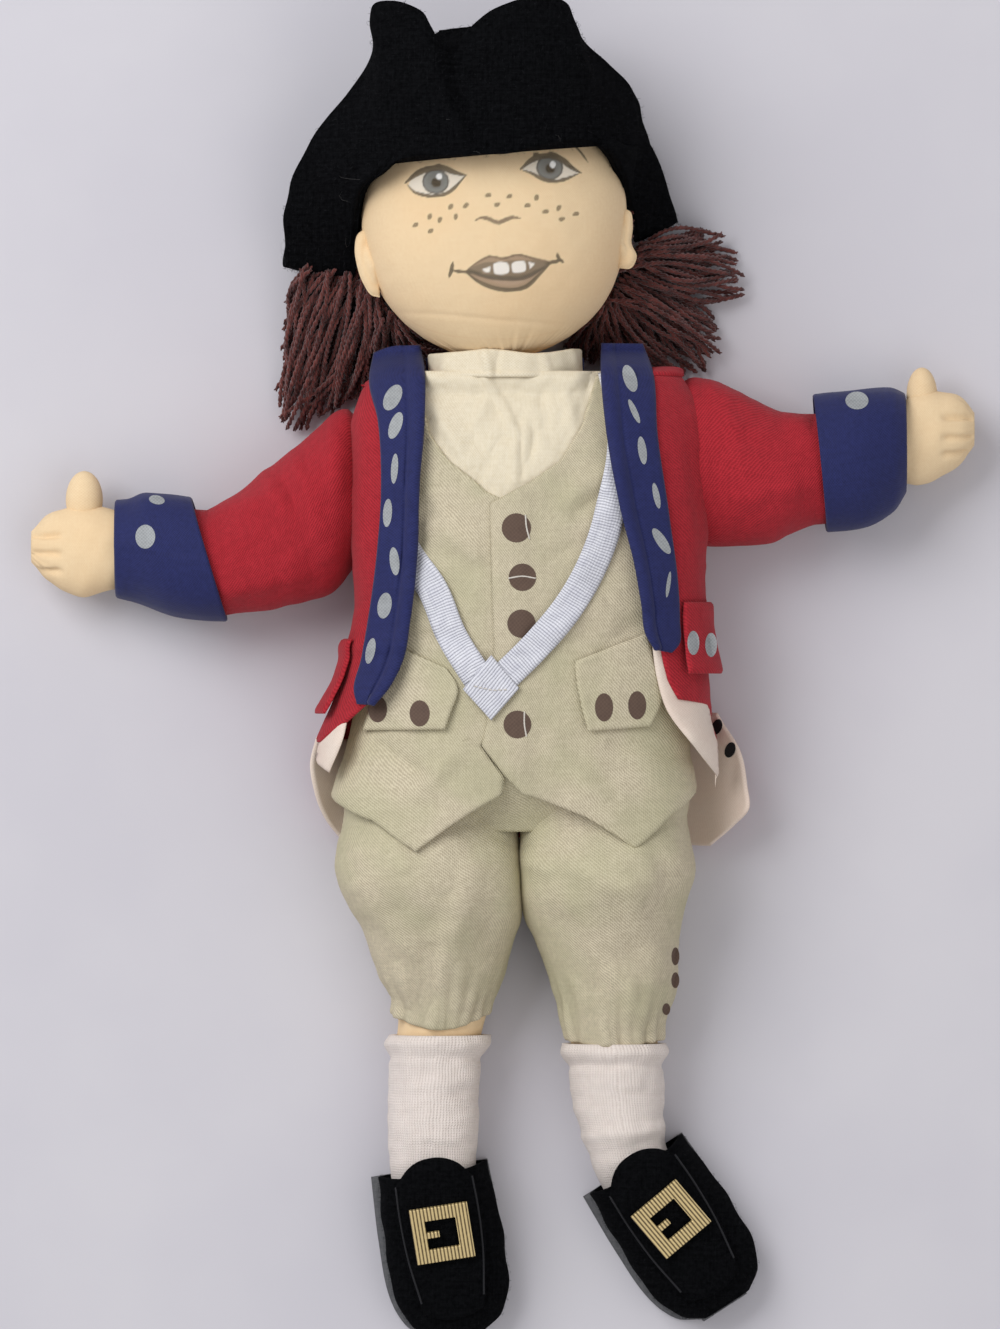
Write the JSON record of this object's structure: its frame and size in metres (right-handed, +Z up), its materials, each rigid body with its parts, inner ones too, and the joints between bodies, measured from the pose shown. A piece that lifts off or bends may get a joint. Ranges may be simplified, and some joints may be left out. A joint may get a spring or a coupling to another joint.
{
  "type": "rag doll",
  "caption": "Stuffed cloth doll in an eighteenth-century soldier's dress with felt cocked hat, jointed at neck, shoulders and hips, with slip-off shoes.",
  "frame": {"origin": "middle of the bounding box in plan, on the table the doll lies on", "axes": "+X towards the doll's left hand, +Y towards the crown of its head, +Z up from the table, the way its face looks"},
  "size_m": [0.3314, 0.4706, 0.086],
  "materials": {
    "muslin": "stuffed plain-weave muslin, matt",
    "cotton_cream": "thin cream cotton, creased",
    "khaki_twill": "khaki twill, matt",
    "ribbon": "white ribbed ribbon, slight sheen",
    "red_twill": "red twill, matt",
    "navy_cotton": "navy cotton, slight sheen",
    "lining": "off-white lining cloth, matt",
    "yarn": "dark brown plied yarn",
    "black_felt": "black felt, fuzzy",
    "grey_felt": "grey felt",
    "knit": "off-white fine knit",
    "gilt": "ribbed gilt, soft gloss"
  },
  "bodies": {
    "torso_body": {"breeches_seat": "khaki_twill", "waistcoat_right": "khaki_twill", "waistcoat_left": "khaki_twill", "waistcoat_back": "khaki_twill", "waistcoat_pocket_right": "khaki_twill", "waistcoat_pocket_left": "khaki_twill", "torso": "muslin", "neck": "muslin", "shirt_neckband": "cotton_cream", "shirt_front": "cotton_cream", "belt_right": "ribbon", "belt_left": "ribbon", "belt_join": "ribbon", "coat_right": "red_twill", "coat_left": "red_twill", "coat_back": "red_twill", "coat_pocket_right": "red_twill", "coat_pocket_left": "red_twill", "coat_tail_right": "red_twill", "coat_tail_left": "red_twill", "coat_collar": "navy_cotton", "lapel_right": "navy_cotton", "lapel_left": "navy_cotton", "turnback_right": "lining", "turnback_left": "lining"},
    "head_body": {"head": "muslin", "ear_right": "muslin", "ear_left": "muslin", "hair_cap": "yarn", "hair_bunch_right": "yarn", "hair_bunch_left": "yarn"},
    "hat_body": {"hat_crown": "black_felt", "hat_brim": "black_felt"},
    "arm_right_body": {"arm_right": "muslin", "sleeve_right": "red_twill", "cuff_right": "navy_cotton"},
    "arm_left_body": {"arm_left": "muslin", "sleeve_left": "red_twill", "cuff_left": "navy_cotton"},
    "leg_right_body": {"leg_right": "muslin", "breeches_right": "khaki_twill", "stocking_right": "knit"},
    "leg_left_body": {"leg_left": "muslin", "breeches_left": "khaki_twill", "stocking_left": "knit"},
    "shoe_right_body": {"shoe_upper_right": "black_felt", "shoe_sole_right": "grey_felt", "shoe_tongue_right": "black_felt", "buckle_right": "gilt"},
    "shoe_left_body": {"shoe_upper_left": "black_felt", "shoe_sole_left": "grey_felt", "shoe_tongue_left": "black_felt", "buckle_left": "gilt"}
  },
  "joints": [
    {"name": "neck_nod", "type": "hinge", "parent": "torso_body", "child": "head_body", "pos_m": [-0.0012, 0.13218, 0.041], "axis": [1, 0, 0], "range_deg": [0, 20]},
    {"name": "hat_lift", "type": "slide", "parent": "head_body", "child": "hat_body", "axis": [-0.0872, 0.9962, 0], "range_m": [0, 0.09]},
    {"name": "shoulder_right", "type": "hinge", "parent": "torso_body", "child": "arm_right_body", "pos_m": [-0.0757, 0.04917, 0.022], "axis": [0, 1, 0], "range_deg": [0, 90]},
    {"name": "shoulder_left", "type": "hinge", "parent": "torso_body", "child": "arm_left_body", "pos_m": [0.0939, 0.06717, 0.022], "axis": [0, -1, 0], "range_deg": [0, 90]},
    {"name": "hip_right", "type": "hinge", "parent": "torso_body", "child": "leg_right_body", "pos_m": [-0.0262, -0.07283, 0.0296], "axis": [-1, 0, 0], "range_deg": [0, 90], "deforming": ["waistcoat_right"]},
    {"name": "hip_left", "type": "hinge", "parent": "torso_body", "child": "leg_left_body", "pos_m": [0.0366, -0.07283, 0.0296], "axis": [-1, 0, 0], "range_deg": [0, 90], "deforming": ["waistcoat_left"]},
    {"name": "shoe_slip_right", "type": "slide", "parent": "leg_right_body", "child": "shoe_right_body", "axis": [0.1564, -0.9877, 0], "range_m": [0, 0.07]},
    {"name": "shoe_slip_left", "type": "slide", "parent": "leg_left_body", "child": "shoe_left_body", "axis": [0.5446, -0.8387, 0], "range_m": [0, 0.07]}
  ]
}
